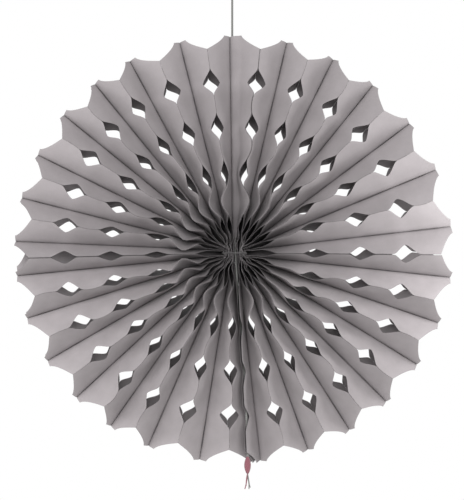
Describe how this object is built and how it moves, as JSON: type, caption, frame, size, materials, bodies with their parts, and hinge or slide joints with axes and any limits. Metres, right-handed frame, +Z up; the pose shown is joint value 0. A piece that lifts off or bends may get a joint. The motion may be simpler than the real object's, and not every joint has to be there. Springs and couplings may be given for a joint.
{
  "type": "paper fan medallion",
  "caption": "Round hanging fan of die-cut grey paper leaves, glued into open tubes, with diamond holes and a cord.",
  "frame": {"origin": "top of the hanging loop, where a hook carries it", "axes": "+Z up, the fan's front faces -Y, and +X is to the right seen from the front"},
  "size_m": [0.3961, 0.0771, 0.4787],
  "materials": {
    "paper": "matte",
    "cord": "matte",
    "binding_thread": "matte",
    "pink_thread": "satin"
  },
  "bodies": {
    "root": {"binding_thread": "binding_thread", "cord_tail": "cord", "hanging_cord": "cord", "hanging_loop": "cord", "inner_cord": "cord", "leaf_01": "paper", "leaf_02": "paper", "leaf_03": "paper", "leaf_04": "paper", "leaf_05": "paper", "leaf_06": "paper", "leaf_07": "paper", "leaf_08": "paper", "leaf_09": "paper", "leaf_10": "paper", "leaf_11": "paper", "leaf_12": "paper", "leaf_13": "paper", "leaf_14": "paper", "leaf_15": "paper", "leaf_16": "paper", "leaf_17": "paper", "leaf_18": "paper", "leaf_19": "paper", "leaf_20": "paper", "leaf_21": "paper", "leaf_22": "paper", "leaf_23": "paper", "leaf_24": "paper", "leaf_25": "paper", "leaf_26": "paper", "leaf_27": "paper", "leaf_28": "paper", "middle_leaf_left": "paper", "middle_leaf_right": "paper", "thread_tail": "pink_thread", "thread_tie": "pink_thread"}
  },
  "joints": []
}
